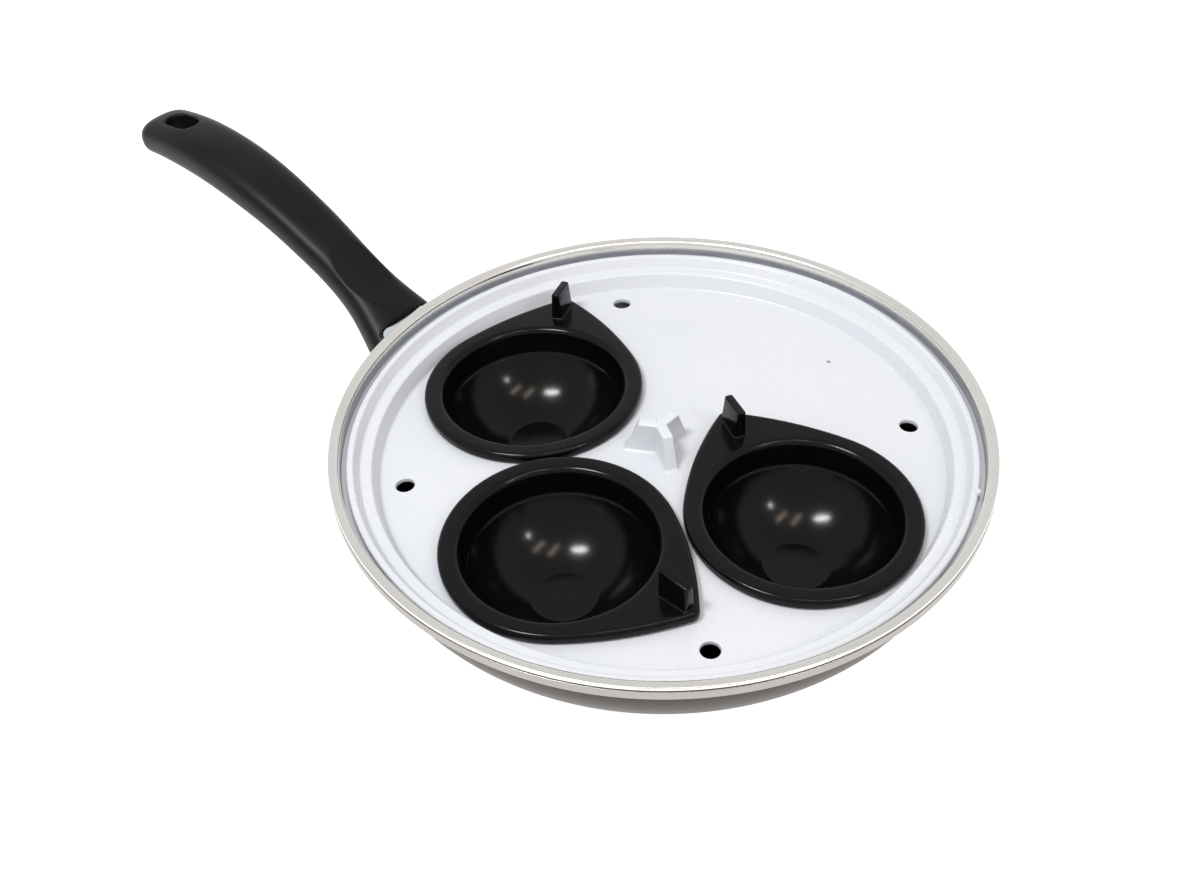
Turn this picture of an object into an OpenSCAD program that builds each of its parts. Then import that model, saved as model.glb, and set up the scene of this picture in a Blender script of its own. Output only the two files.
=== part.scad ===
// Egg poacher pan: a shallow rolled-rim pan with a long grip, a lift-out tray and three loose egg cups.
// The pan stands on z = 0 with its axis on Z, and the handle points along -X.

/* [Pan] */
// Height from the base to the top of the rim
pan_h = 40; // [38:0.5:44]
// Thickness of the pan sheet
pan_t = 1.2; // [0.9:0.1:1.5]
// Radius of the bead rolled into the rim
bead_r = 1.65; // [1.5:0.05:2]
// Width that the bead stands out beyond the collar
bead_out = 3; // [2.6:0.1:3.6]
// Depth from the bead's centre to the tray ledge inside the collar
ledge_depth = 4.1; // [3.6:0.1:5]
// Width of the tray ledge
ledge_w = 2.8; // [2.4:0.1:3.4]
// Drop of the collar's lower outside edge below the ledge
collar_drop = 0.3; // [0.1:0.05:0.5]
// Height above the base down to which the round belly of the wall would reach
belly_lift = 3; // [2:0.5:5]
// Distance by which the flat base ends inside the wall
base_in = 26.2; // [22:0.2:30]
// Outside radius of the curve round the base
base_curve_r = 8; // [6:0.5:10]

/* [Tray] */
// Thickness of the moulded tray
tray_t = 1.8; // [1.5:0.1:2.2]
// Gap between the tray's lip and the inside of the collar
lip_gap = 1.8; // [1.2:0.1:2]
// Width of the flat top of the lip
lip_w = 2; // [1.6:0.1:2.4]
// Gap between the tray's step and the inside of the wall
step_gap = 0.6; // [0.4:0.1:1]
// Height of the step from the lip down to the shelf
step_h = 3.5; // [3:0.1:4]
// Draft of the step, measured along the radius
step_draft = 1.9; // [1.6:0.1:2.4]
// Width of the shelf between the step and the riser
shelf_w = 3.5; // [3:0.1:4]
// Height of the riser from the shelf down to the plate
riser_h = 5.4; // [5:0.1:6]
// Draft of the riser, measured along the radius
riser_draft = 1.8; // [1.4:0.1:2.2]
// Thickness of the riser, measured along the radius
riser_t = 1.9; // [1.6:0.1:2.3]
// Rise of the plate's middle above its edge
plate_rise = 2.8; // [2:0.1:3.4]
// Angle by which the tray is turned in the pan
tray_turn = 3.6; // [0:0.2:10]
// Radius of the steam holes
steam_r = 3; // [2.5:0.1:3.5]
// Distance of the steam holes from the riser's foot
steam_in = 8; // [7:0.2:10]
// Radius of the pinhole
pin_r = 0.75; // [0.5:0.05:1]
// Distance of the pinhole from the riser's foot
pin_in = 15.8; // [13:0.2:18]
// Angle of the pinhole on the tray
pin_turn = 74.2; // [70:0.2:80]

/* [Knob] */
// Reach of a knob arm at its foot
knob_foot = 11; // [9.5:0.5:12.5]
// Reach of a knob arm at its top
knob_top = 6.8; // [6:0.2:8]
// Height of the knob above the plate
knob_h = 11; // [10:0.5:12.5]
// Thickness of a knob arm
arm_t = 3.7; // [3:0.1:4.5]
// Angle of the first knob arm on the tray
knob_turn = 85.1; // [70:0.1:100]

/* [Cups] */
// Gap between the flanges of two neighbouring cups
flange_gap = 1.1; // [0.8:0.1:2]
// Gap between a cup's flange and the foot of the riser
flange_room = 0.9; // [0.5:0.1:2]
// Clearance round a cup in its seat
seat_gap = 0.9; // [0.8:0.05:1.2]
// Clearance between a cup's skirt and the plate
rest_gap = 0.05; // [0.02:0.01:0.1]
// Width of a cup's flat flange outside its lip
flange_w = 4.1; // [3.8:0.1:4.6]
// Distance by which the tip stands out past the round flange
tip_out = 12.9; // [11.9:0.1:13.9]
// Radius of the rounded tip
tip_r = 3; // [2.6:0.1:3.4]
// Radius of the two curved sides that run from the flange's circle to its tip
side_r = 110; // [90:5:160]
// Height of the skirt under the flange
skirt_h = 3.8; // [3.5:0.1:4.4]
// Thickness of a cup's wall
cup_t = 1.5; // [1.2:0.1:1.8]
// Inside radius of a cup just under its lip
mouth_r = 29.6; // [28:0.1:31]
// Radius of the rounded lip
lip_r = 2.4; // [2:0.1:2.6]
// Depth from the flange to the ring line in the wall
ring_depth = 9; // [8:0.5:10]
// Draft of the wall above the ring line
wall_draft = 0.9; // [0.6:0.1:1.2]
// Width of the small step at the ring line
ring_w = 0.3; // [0.2:0.05:0.6]
// Inside depth of a cup
cup_depth = 25; // [23.5:0.5:26]
// Radius of the flat disc in the bottom of a cup
disc_r = 10; // [9:0.5:11]
// Distance by which the first cup lies nearer to the pan's axis than its seat
cup_1_in = 0.5; // [0:0.1:0.5]
// Angle by which the third cup lies turned past its seat
cup_3_past = 0.6; // [0:0.1:0.6]
// Direction of the tip of the first cup
cup_1_turn = 118; // [108:1:128]
// Direction of the tip of the second cup
cup_2_turn = 4.5; // [0:0.5:14]
// Direction of the tip of the third cup
cup_3_turn = 157; // [154:1:166]

/* [Lifting tabs] */
// Distance from the far end of the tab to the tip of the flange
tab_in = 2.4; // [2:0.1:3]
// Length of the tab
tab_len = 10.6; // [9.4:0.2:11]
// Height of the tab above the flange at its end over the bowl
tab_h = 10; // [9:0.5:12]
// Height of the tab at its end over the tip
tab_end_h = 8.8; // [8:0.2:9]
// Thickness of the tab at its foot
tab_w = 4; // [3.4:0.1:4.4]
// Thickness of the tab at its top
tab_top_w = 2.6; // [2:0.1:3]
// Angle between the tab and its cup's radius
tab_twist = 6; // [0:1:8]
// Distance by which the tab's middle lies beside its cup's radius
tab_aside = 0.25; // [0:0.05:0.5]

/* [Handle bracket] */
// Thickness of the bracket plate on the wall
plate_t = 1.5; // [1.2:0.1:2]
// Half the angle that the plate takes on the wall
plate_half = 14.5; // [14:0.1:16]
// Height of the plate's lower edge
plate_low = 11; // [10:0.5:12]
// Height of the plate's upper edge
plate_high = 27.5; // [26:0.5:29]
// Width of the tang
tang_w = 14; // [12:0.5:16]
// Thickness of the tang
tang_t = 2.5; // [2:0.1:3]
// Height of the tang where it leaves the wall
tang_z = 18.8; // [18:0.1:20]
// Distance of the tang's bend from the grip's pan end
tang_bend_in = 2.5; // [1:0.5:4]
// Angle of the tang inside the grip
tang_slope = 31; // [29:0.5:33]
// Length of the tang beyond its bend
tang_len = 24; // [20:1:28]

/* [Rivets] */
// Radius of a rivet's shank
rivet_r = 2; // [1.6:0.1:2.4]
// Radius of a rivet's head
rivet_head_r = 3.4; // [3:0.1:4]
// Height of a rivet's head
rivet_head_h = 1.5; // [1.2:0.1:2]
// Angle of a rivet from the middle of the bracket
rivet_half = 10.9; // [10.6:0.1:11.4]

/* [Flame guard] */
// Width of the guard
guard_w = 23; // [21:0.5:24]
// Height of the guard
guard_h = 14.5; // [13:0.5:15]
// Radius of the guard's corners
guard_corner = 4; // [3:0.5:5]
// Thickness of the guard's sheet
guard_t = 0.8; // [0.6:0.1:1]
// Height of the guard's middle
guard_z = 19.6; // [19:0.1:20.4]
// Length of the guard inside the grip
guard_in = 6.5; // [5.5:0.5:8]

/* [Grip] */
// Gap between the rim and the grip's pan end
grip_gap = 8.5; // [7:0.5:10]
// Length of the grip, seen from above
grip_len = 137; // [128:0.5:148]
// Height of the grip's middle line just short of its pan end
grip_pan_z = 11.6; // [10.6:0.1:12.6]
// Height of the grip's middle line at its tip
grip_tip_z = 56; // [52:0.5:60]
// Rise of the middle line at the pan end, as an angle
grip_pan_rise = 38.6; // [37:0.2:40]
// Fall of the middle line at the tip, as an angle
grip_tip_fall = 11.2; // [6:0.2:16]
// Width of the grip at its pan end
grip_pan_w = 37; // [35.5:0.5:39]
// Width of the grip's neck
grip_neck_w = 21.7; // [20:0.1:24]
// Width of the grip's swell
grip_swell_w = 23.4; // [21:0.1:26]
// Width of the grip at its tip, before the tip is rounded
grip_tip_w = 22.6; // [20:0.1:24]
// Thickness of the grip at its pan end
grip_pan_t = 17.2; // [16.8:0.1:18.2]
// Thickness of the grip's neck
grip_neck_t = 13.7; // [13:0.1:15.5]
// Thickness of the grip's swell
grip_swell_t = 15.4; // [13.5:0.1:17]
// Thickness of the grip at its tip
grip_tip_t = 12.5; // [10:0.1:14]
// Length of the rounding at the tip
tip_round = 8.5; // [7:0.5:11]
// Squareness of the grip's cross-section, where 2 is an ellipse
grip_square = 2.6; // [2.2:0.1:3]
// Depth of the thumb rest
rest_d = 1.5; // [1:0.1:2.2]
// Distance of the thumb rest's middle from the grip's pan end
rest_from = 27; // [24:0.5:30]
// Length of the thumb rest
rest_len = 24; // [20:1:28]
// Width of the thumb rest
rest_w = 12.5; // [10:0.5:15]
// Width of the hanging hole
hang_w = 9; // [8:0.5:10]
// Length of the hanging hole
hang_len = 15; // [12:0.5:17]
// Distance of the hanging hole's middle from the grip's tip
hang_in = 19; // [15:0.5:23]
// Clearance of the tang and the guard in the grip
grip_fit = 0.15; // [0.1:0.05:0.25]
// Depth of the window for the guard in the top of the grip's end
window_d = 4.5; // [3.5:0.5:5.5]

/* [Screw] */
// Radius of the screw's shank
screw_r = 2; // [1.8:0.1:2.4]
// Radius of the screw's head
screw_head_r = 3.6; // [3.2:0.1:4]
// Height of the screw's head
screw_head_h = 2.2; // [1.8:0.1:2.6]
// Width of the crossed slots in the screw's head
slot_w = 0.8; // [0.6:0.1:1]
// Depth of the crossed slots in the screw's head
slot_depth = 1.1; // [0.8:0.1:1.4]
// Distance of the screw along the tang from its bend
screw_at = 15; // [12:0.5:18]
// Thickness of the grip wall that the screw clamps
clamp_t = 2.6; // [2:0.1:3]
// Thickness of the washer
washer_t = 0.8; // [0.6:0.1:1]
// Length of the screw that stands past the tang
screw_past = 1.5; // [1:0.1:2]
// Room in the grip past the end of the screw
screw_room = 1; // [0.5:0.1:1.5]
// Clearance of the screw and the rivets in their holes
hole_fit = 0.08; // [0.05:0.01:0.1]

/* [Hidden] */
$fn = 96;
arc_n = 12;
grip_sides = 40;
grip_rings = 34;
tiny = 0.01;
// Length by which a cut runs past the face that it leaves, and a part laps into the one that it joins
over = 1;
// Sinks the sides of a cup's flange into its round ends, so that they cross cleanly
tangent_in = 0.02;
reach = 60;
// How far the grip's middle line starts short of its pan end, inside the round cut that makes that end
path_back = 4.5;

// Radii from a cup outwards to the rim: two flanges lie side by side across a quarter of the plate
flange_r = mouth_r + lip_r + flange_w;
tip_at = flange_r + tip_out;
tab_from = tip_at - tab_in - tab_len;
seat_at = (2 * flange_r + flange_gap) / sqrt(2);
plate_r = seat_at + flange_r + flange_room;
shelf_in_r = plate_r + riser_draft;
shelf_out_r = shelf_in_r + shelf_w;
step_top_r = shelf_out_r + step_draft;
tray_r = step_top_r + lip_w;
collar_inner = tray_r + lip_gap;
collar_r = collar_inner + pan_t;
rim_r = collar_r + bead_out;
wall_r = collar_r - ledge_w;
wall_inner = wall_r - pan_t;
base_r = wall_r - base_in;

// Places along the handle
grip_start = rim_r + grip_gap;
grip_end = grip_start + grip_len;
grip_root = grip_start - path_back - 2;
grip_path_from = grip_start - path_back;
tang_bend_at = grip_start + tang_bend_in;
guard_end = grip_start + guard_in;
rest_at = grip_start + rest_from;
hang_at = grip_end - hang_in;

// Heights of the pan, and centres of its curves
bead_x = rim_r - bead_r;
bead_z = pan_h - bead_r;
ledge_z = bead_z - ledge_depth;
belly_r = ledge_z - pan_t - belly_lift;
belly_c = [wall_r - belly_r, ledge_z - pan_t];
base_c = [base_r, base_curve_r];
curl_r = bead_x - collar_inner;
curl_c = [bead_x, pan_h - curl_r];
// Direction of the normal of the cone that touches the base curve and the belly curve
cone_d = belly_c - base_c;
cone_a = atan2(cone_d.y, cone_d.x) - acos((base_curve_r - belly_r) / norm(cone_d));

// Heights of the tray and the cups
lip_top = ledge_z + tray_t;
shelf_z = lip_top - step_h;
plate_z = shelf_z - riser_h;
steam_at = plate_r - steam_in;
pin_at = plate_r - pin_in;
step_out_r = wall_inner - step_gap;
step_foot_r = step_out_r - step_draft / 2;
seat_r = mouth_r + cup_t + seat_gap;
seat_turns = [180, 270, 0];

// The plate is the cap of a ball, so a cup leans outwards in its seat and its skirt lies all round on the cap
dome_r = (pow(plate_r, 2) + pow(plate_rise, 2)) / (2 * plate_rise);
dome_c = [0, plate_z + plate_rise - dome_r];
dome_edge_a = acos(plate_r / dome_r);
flange_up = sqrt(pow(dome_r, 2) - pow(flange_r - cup_t, 2)) + rest_gap + skirt_h;
cup_turns = [cup_1_turn, cup_2_turn, cup_3_turn];
cup_places = [[180, seat_at - cup_1_in], [270, seat_at], [cup_3_past, seat_at]];
steam_turns = [45, 135, 225, 315];

// Inside of a cup below the ring line: a ball shape that ends on the flat disc
bowl_top_r = mouth_r - wall_draft - ring_w;
bowl_c = (pow(bowl_top_r, 2) - pow(disc_r, 2) + pow(ring_depth, 2) - pow(cup_depth, 2))
    / (2 * (cup_depth - ring_depth));
bowl_r = norm([disc_r, cup_depth + bowl_c]);

// Height on the wall where the tang and the rivets sit, and the wall's direction there
tang_wall_a = asin((tang_z - belly_c.y) / belly_r);
tang_wall_r = belly_c.x + belly_r * cos(tang_wall_a);
tang_tip = [tang_bend_at, tang_z] + tang_len * [cos(tang_slope), sin(tang_slope)];
screw_c = [tang_bend_at, tang_z] + screw_at * [cos(tang_slope), sin(tang_slope)];
// How much closer the grip's rings lie towards its tip, and how far the last one stays back from it
ring_bias = 1.6;
last_ring_back = 0.05;

// Points on an arc about c from angle a0 to angle a1
function arc(c, r, a0, a1) = [for (i = [0:arc_n]) let (a = a0 + (a1 - a0) * i / arc_n)
    c + r * [cos(a), sin(a)]];

// The pan's outside line from the axis to the ledge, moved outwards by d
function pan_outside(d) = concat(
    [[0, -d]],
    arc(base_c, base_curve_r + d, -90, cone_a),
    arc(belly_c, belly_r + d, cone_a, 0));

// The same line from the ledge back to the axis, moved inwards by the sheet's thickness
function pan_inside() = concat(
    arc(belly_c, belly_r - pan_t, 0, cone_a),
    arc(base_c, base_curve_r - pan_t, cone_a, -90),
    [[0, pan_t]]);

// Everything within d of the pan's outside below the ledge, as one solid
module pan_block(d) {
    rotate_extrude() polygon(concat(pan_outside(d), [[0, belly_c.y]]));
}

// Puts its children on the wall at the height of the tang, turned by a, with +Z pointing out of the wall
module on_wall(a) {
    rotate([0, 0, 180 + a]) translate([tang_wall_r, 0, tang_z]) rotate([0, 90 - tang_wall_a, 0]) children();
}

// Turns a drawing in radius and height into a plate across the handle, w wide
module across_handle(w) {
    rotate([90, 0, 180]) translate([0, 0, -w / 2]) linear_extrude(w) children();
}

module pan_body() {
    color([0.80, 0.78, 0.74]) difference() {
        rotate_extrude() union() {
            polygon(concat(
                pan_outside(0),
                [[collar_r, ledge_z - collar_drop], [collar_r, bead_z], [bead_x, bead_z]],
                arc(curl_c, curl_r, 90, 180),
                [[collar_inner, ledge_z], [wall_inner, ledge_z]],
                pan_inside()));
            translate([bead_x, bead_z]) circle(bead_r);
        }
        for (a = [-rivet_half, rivet_half]) {
            on_wall(a) translate([0, 0, -reach / 2]) cylinder(h = reach, r = rivet_r + hole_fit);
        }
    }
}

module handle_bracket() {
    color([0.72, 0.74, 0.77]) difference() {
        union() {
            rotate([0, 0, 180 - plate_half]) rotate_extrude(angle = 2 * plate_half) difference() {
                polygon(concat(pan_outside(hole_fit + plate_t), [[0, belly_c.y]]));
                polygon(concat(pan_outside(hole_fit), [[0, belly_c.y + tiny]]));
                translate([0, -reach]) square([2 * rim_r, reach + plate_low]);
                translate([0, plate_high]) square([2 * rim_r, reach]);
            }
            difference() {
                across_handle(tang_w) tang_line(tang_t);
                pan_block(hole_fit + plate_t / 2);
            }
        }
        for (a = [-rivet_half, rivet_half]) {
            on_wall(a) translate([0, 0, -reach / 2]) cylinder(h = reach, r = rivet_r + hole_fit);
        }
        screw_line() translate([0, 0, -reach / 2]) cylinder(h = reach, r = screw_r + hole_fit);
    }
}

// The tang seen from the side: a level bar that bends up into the grip, t thick, grown by g at its end
module tang_line(t, g = 0) {
    half = t / 2;
    bend = half * tan(tang_slope / 2);
    up = [cos(tang_slope), sin(tang_slope)];
    side = [-up.y, up.x];
    tip = tang_tip + g * up;
    polygon([
        [tang_wall_r, tang_z - half], [tang_bend_at + bend, tang_z - half],
        tip - half * side, tip + half * side,
        [tang_bend_at - bend, tang_z + half], [tang_wall_r, tang_z + half]]);
}

// Puts its children on the screw's line: the tang's middle is the origin, and +Z points down out of the grip
module screw_line() {
    translate([-screw_c.x, 0, screw_c.y]) rotate([0, tang_slope, 0]) mirror([0, 0, 1]) children();
}

module bracket_rivets() {
    inner = -pan_t;
    outer = hole_fit + plate_t;
    dish = pow(rivet_head_r, 2) / (2 * (belly_r - pan_t)) + hole_fit / 2;
    color([0.82, 0.82, 0.83]) for (a = [-rivet_half, rivet_half]) {
        on_wall(a) {
            translate([0, 0, inner - dish - rivet_head_h / 2])
                cylinder(h = outer - inner + dish + rivet_head_h, r = rivet_r);
            translate([0, 0, outer]) rivet_head();
            translate([0, 0, inner - dish]) mirror([0, 0, 1]) rivet_head();
        }
    }
}

// A low domed head, flat side down
module rivet_head() {
    dome = (pow(rivet_head_r, 2) + pow(rivet_head_h, 2)) / (2 * rivet_head_h);
    intersection() {
        translate([0, 0, rivet_head_h - dome]) sphere(dome);
        cylinder(h = rivet_head_h, r = rivet_head_r);
    }
}

// The guard's cross-section, grown by g
module guard_shape(g = 0) {
    r = guard_corner + g;
    x = guard_w / 2 - guard_corner;
    y = guard_h / 2 - guard_corner;
    for (i = [-1, 1], j = [-1, 1]) translate([i * x, j * y]) circle(r);
    square([2 * x, 2 * (y + r)], center = true);
    square([2 * (x + r), 2 * y], center = true);
}

// Runs a cross-section level along the handle from the pan's middle to distance s
module along_handle(s) {
    translate([0, 0, guard_z]) rotate([90, 0, -90]) linear_extrude(s) children();
}

module flame_guard() {
    color([0.78, 0.80, 0.83]) difference() {
        along_handle(guard_end) difference() {
            guard_shape();
            guard_shape(-guard_t);
        }
        pan_block(2 * hole_fit + plate_t);
    }
}

// Value on a smooth line through evenly spaced values v, at u from 0 to 1
function blend(v, u) = let (
    n = len(v) - 1,
    i = min(floor(u * n), n - 1),
    f = u * n - i,
    a = v[max(i - 1, 0)], b = v[i], c = v[i + 1], d = v[min(i + 2, n)])
    b + f * (c - a) / 2 + f * f * (a - 2.5 * b + 2 * c - d / 2) + f * f * f * (1.5 * (b - c) + (d - a) / 2);

// The grip's middle line, as distance from the axis and height, from two ends and their slopes
path_len = grip_end - grip_path_from;
rise = path_len / 3 * tan(grip_pan_rise);
fall = path_len / 3 * tan(grip_tip_fall);
function path_z(s) = let (u = (s - grip_path_from) / path_len, v = 1 - u)
    v * v * v * grip_pan_z + 3 * v * v * u * (grip_pan_z + rise)
    + 3 * v * u * u * (grip_tip_z + fall) + u * u * u * grip_tip_z;
function path_slope(s) = atan2(path_z(s + tiny) - path_z(s - tiny), 2 * tiny);

grip_widths = [grip_pan_w, grip_neck_w, grip_neck_w, grip_swell_w, grip_swell_w, grip_tip_w];
grip_depths = [grip_pan_t, grip_neck_t, grip_neck_t, grip_swell_t, grip_swell_t, grip_tip_t];
function grip_u(s) = max(0, (s - grip_root) / (grip_end - grip_root));
function end_round(s) = let (q = max(0, (s - (grip_end - tip_round)) / tip_round)) sqrt(max(0, 1 - q * q));
function power(x) = sign(x) * pow(abs(x), 2 / grip_square);
function rest_at_point(s, y) = let (q = pow((s - rest_at) / (rest_len / 2), 2) + pow(y / (rest_w / 2), 2))
    q < 1 ? rest_d * pow(1 - q, 1.5) : 0;

// One ring of points round the grip at distance s
function grip_ring(s) = let (
    w = blend(grip_widths, grip_u(s)) * end_round(s) / 2,
    t = blend(grip_depths, grip_u(s)) * end_round(s) / 2,
    slope = path_slope(s), z = path_z(s))
    [for (i = [0:grip_sides - 1]) let (
        a = 360 * i / grip_sides,
        y = w * power(cos(a)),
        h = t * power(sin(a)) - (a > 0 && a < 180 ? rest_at_point(s, y) : 0))
        [-(s - h * sin(slope)), y, z + h * cos(slope)]];

// Rings lie closer together towards the rounded tip
function ring_at(i) = let (q = i / (grip_rings - 1))
    grip_root + (grip_end - grip_root) * (1 - pow(1 - q, ring_bias))
    - (i == grip_rings - 1 ? last_ring_back : 0);

module grip_body() {
    rings = [for (i = [0:grip_rings - 1]) grip_ring(ring_at(i))];
    points = [for (r = rings, p = r) p];
    last = (grip_rings - 1) * grip_sides;
    polyhedron(points, concat(
        [[for (j = [0:grip_sides - 1]) j]],
        [for (i = [0:grip_rings - 2], j = [0:grip_sides - 1]) let (
            a = i * grip_sides + j,
            b = i * grip_sides + (j + 1) % grip_sides) each [
                [a, a + grip_sides, b + grip_sides],
                [a, b + grip_sides, b]]],
        [[for (j = [grip_sides - 1:-1:0]) last + j]]));
}

module grip() {
    hang_slope = path_slope(hang_at);
    straight = hang_len - hang_w;
    color([0.07, 0.07, 0.08]) difference() {
        grip_body();
        translate([0, 0, -reach]) cylinder(h = 3 * reach, r = grip_start);
        along_handle(guard_end + grip_fit) guard_shape(grip_fit);
        translate([-grip_start - window_d, -guard_w / 2 - grip_fit, guard_z])
            cube([grip_start, guard_w + 2 * grip_fit, reach]);
        across_handle(tang_w + 2 * grip_fit) tang_line(tang_t + 2 * grip_fit, grip_fit);
        screw_line() {
            translate([0, 0, -tang_t / 2 - screw_past - screw_room])
                cylinder(h = reach, r = screw_r + hole_fit);
            translate([0, 0, tang_t / 2 + clamp_t]) cylinder(h = reach, r = screw_head_r + 2 * grip_fit);
        }
        translate([-hang_at, 0, path_z(hang_at)]) rotate([0, hang_slope, 0]) {
            for (i = [-1, 1]) translate([i * straight / 2, 0, -reach / 2]) cylinder(h = reach, r = hang_w / 2);
            translate([-straight / 2, -hang_w / 2, -reach / 2]) cube([straight, hang_w, reach]);
        }
    }
}

module grip_screw() {
    seat = tang_t / 2 + clamp_t + washer_t;
    color([0.75, 0.76, 0.78]) screw_line() difference() {
        union() {
            translate([0, 0, -tang_t / 2 - screw_past])
                cylinder(h = seat + tang_t / 2 + screw_past + tiny, r = screw_r);
            translate([0, 0, seat]) cylinder(h = screw_head_h, r = screw_head_r);
        }
        for (a = [0, 90]) rotate([0, 0, a]) translate([-screw_r, -slot_w / 2, seat + screw_head_h - slot_depth])
            cube([2 * screw_r, slot_w, reach]);
    }
}

module screw_washer() {
    color([0.66, 0.67, 0.70]) screw_line() translate([0, 0, tang_t / 2 + clamp_t]) difference() {
        cylinder(h = washer_t, r = screw_head_r);
        translate([0, 0, -tiny]) cylinder(h = washer_t + 2 * tiny, r = screw_r + hole_fit);
    }
}

module egg_tray() {
    color([0.93, 0.94, 0.96]) rotate([0, 0, tray_turn]) {
        difference() {
            rotate_extrude() polygon(concat(
                arc(dome_c, dome_r - tray_t, 90, dome_edge_a),
                [[plate_r + riser_t, plate_z - tray_t],
                [shelf_in_r + riser_t, shelf_z - tray_t], [step_foot_r, shelf_z - tray_t],
                [step_out_r, ledge_z], [tray_r, ledge_z], [tray_r, lip_top], [step_top_r, lip_top],
                [shelf_out_r, shelf_z], [shelf_in_r, shelf_z]],
                arc(dome_c, dome_r, dome_edge_a, 90)));
            for (a = seat_turns) plate_hole(a, seat_at, seat_r);
            for (a = steam_turns) plate_hole(a, steam_at, steam_r);
            plate_hole(pin_turn, pin_at, pin_r);
        }
        for (i = [0:2]) rotate([0, 0, knob_turn + 120 * i]) knob_arm();
    }
}

// A round hole down through the plate, at angle a and distance d
module plate_hole(a, d, r) {
    rotate([0, 0, a]) translate([d, 0, plate_z - reach / 2]) cylinder(h = reach, r = r);
}

// One tapered upright arm of the knob, from the axis outwards
module knob_arm() {
    translate([0, arm_t / 2, plate_z + plate_rise]) rotate([90, 0, 0]) linear_extrude(arm_t)
        polygon([[0, -tray_t / 2], [knob_foot, -tray_t / 2], [knob_foot, 0], [knob_top, knob_h], [0, knob_h]]);
}

// The pointed round outline of a cup's flange, with its edge moved in by d: a large circle, a small one at the
// tip, and between them a curved side on each hand that touches both
module flange_outline(d = 0) {
    tip_c = tip_at - tip_r;
    to_circle = side_r - flange_r;
    to_tip = side_r - tip_r;
    side_x = (pow(to_circle, 2) - pow(to_tip, 2) + pow(tip_c, 2)) / (2 * tip_c);
    side_y = sqrt(pow(to_circle, 2) - pow(side_x, 2));
    near = [-side_x, side_y] * (flange_r + tip_r) / to_circle;
    far = [tip_c, 0] + [tip_c - side_x, side_y] * 2 * tip_r / to_tip;
    circle(flange_r - d);
    translate([tip_c, 0]) circle(tip_r - d);
    intersection() {
        translate([side_x, -side_y]) circle(side_r - d - tangent_in);
        translate([side_x, side_y]) circle(side_r - d - tangent_in);
        polygon([[0, 0], near, far, [tip_c, 0], [far.x, -far.y], [near.x, -near.y]]);
    }
}

// The revolved part of a cup, drawn with its flange's top at height 0
module cup_bowl() {
    lip_c = [mouth_r + lip_r, -lip_r];
    a0 = atan2(-ring_depth - bowl_c, bowl_top_r);
    a1 = atan2(-cup_depth - bowl_c, disc_r);
    rotate_extrude() polygon(concat(
        [[mouth_r + lip_r + over, -cup_t], [mouth_r + lip_r + over, 0]],
        arc(lip_c, lip_r, 90, 180),
        [[mouth_r - wall_draft, -ring_depth + ring_w / 2]],
        arc([0, bowl_c], bowl_r, a0, a1),
        [[0, -cup_depth], [0, -cup_depth - cup_t]],
        arc([0, bowl_c], bowl_r + cup_t, a1, a0),
        [[mouth_r - wall_draft + cup_t, -ring_depth]],
        arc(lip_c, lip_r - cup_t, 180, 90)));
}

module tab() {
    foot = -cup_t / 2;
    translate([tab_from + tab_len / 2, tab_aside, 0]) rotate([0, 0, -tab_twist]) intersection() {
        translate([-tab_len / 2, 0, 0]) rotate([90, 0, 90]) linear_extrude(tab_len) polygon([
            [-tab_w / 2, foot], [tab_w / 2, foot], [tab_top_w / 2, tab_h], [-tab_top_w / 2, tab_h]]);
        rotate([90, 0, 0]) translate([0, 0, -tab_w]) linear_extrude(2 * tab_w) polygon([
            [-tab_len / 2, foot - tiny], [tab_len / 2, foot - tiny],
            [tab_len / 2, tab_end_h], [-tab_len / 2, tab_h]]);
    }
}

// Puts its children over the plate at angle a and distance d, with the top of a cup's flange at height 0
module on_plate(a, d) {
    rotate([0, 0, a]) translate([0, 0, dome_c.y]) rotate([0, asin(d / dome_r), 0])
        translate([0, 0, flange_up]) children();
}

module cup(i) {
    turn = cup_places[i][0] + tray_turn;
    color([0.05, 0.05, 0.06]) on_plate(turn, cup_places[i][1]) rotate([0, 0, cup_turns[i] - turn]) {
        difference() {
            translate([0, 0, -skirt_h]) linear_extrude(skirt_h) flange_outline();
            translate([0, 0, -skirt_h - over]) linear_extrude(skirt_h + over - cup_t) flange_outline(cup_t);
            translate([0, 0, -reach / 2]) cylinder(h = reach, r = mouth_r + lip_r + over / 2);
        }
        cup_bowl();
        tab();
    }
}

pan_body();
handle_bracket();
bracket_rivets();
flame_guard();
grip();
grip_screw();
screw_washer();
egg_tray();
cup(0);  // cup_1
cup(1);  // cup_2
cup(2);  // cup_3
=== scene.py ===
import math

import bpy
from mathutils import Matrix, Vector


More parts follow.
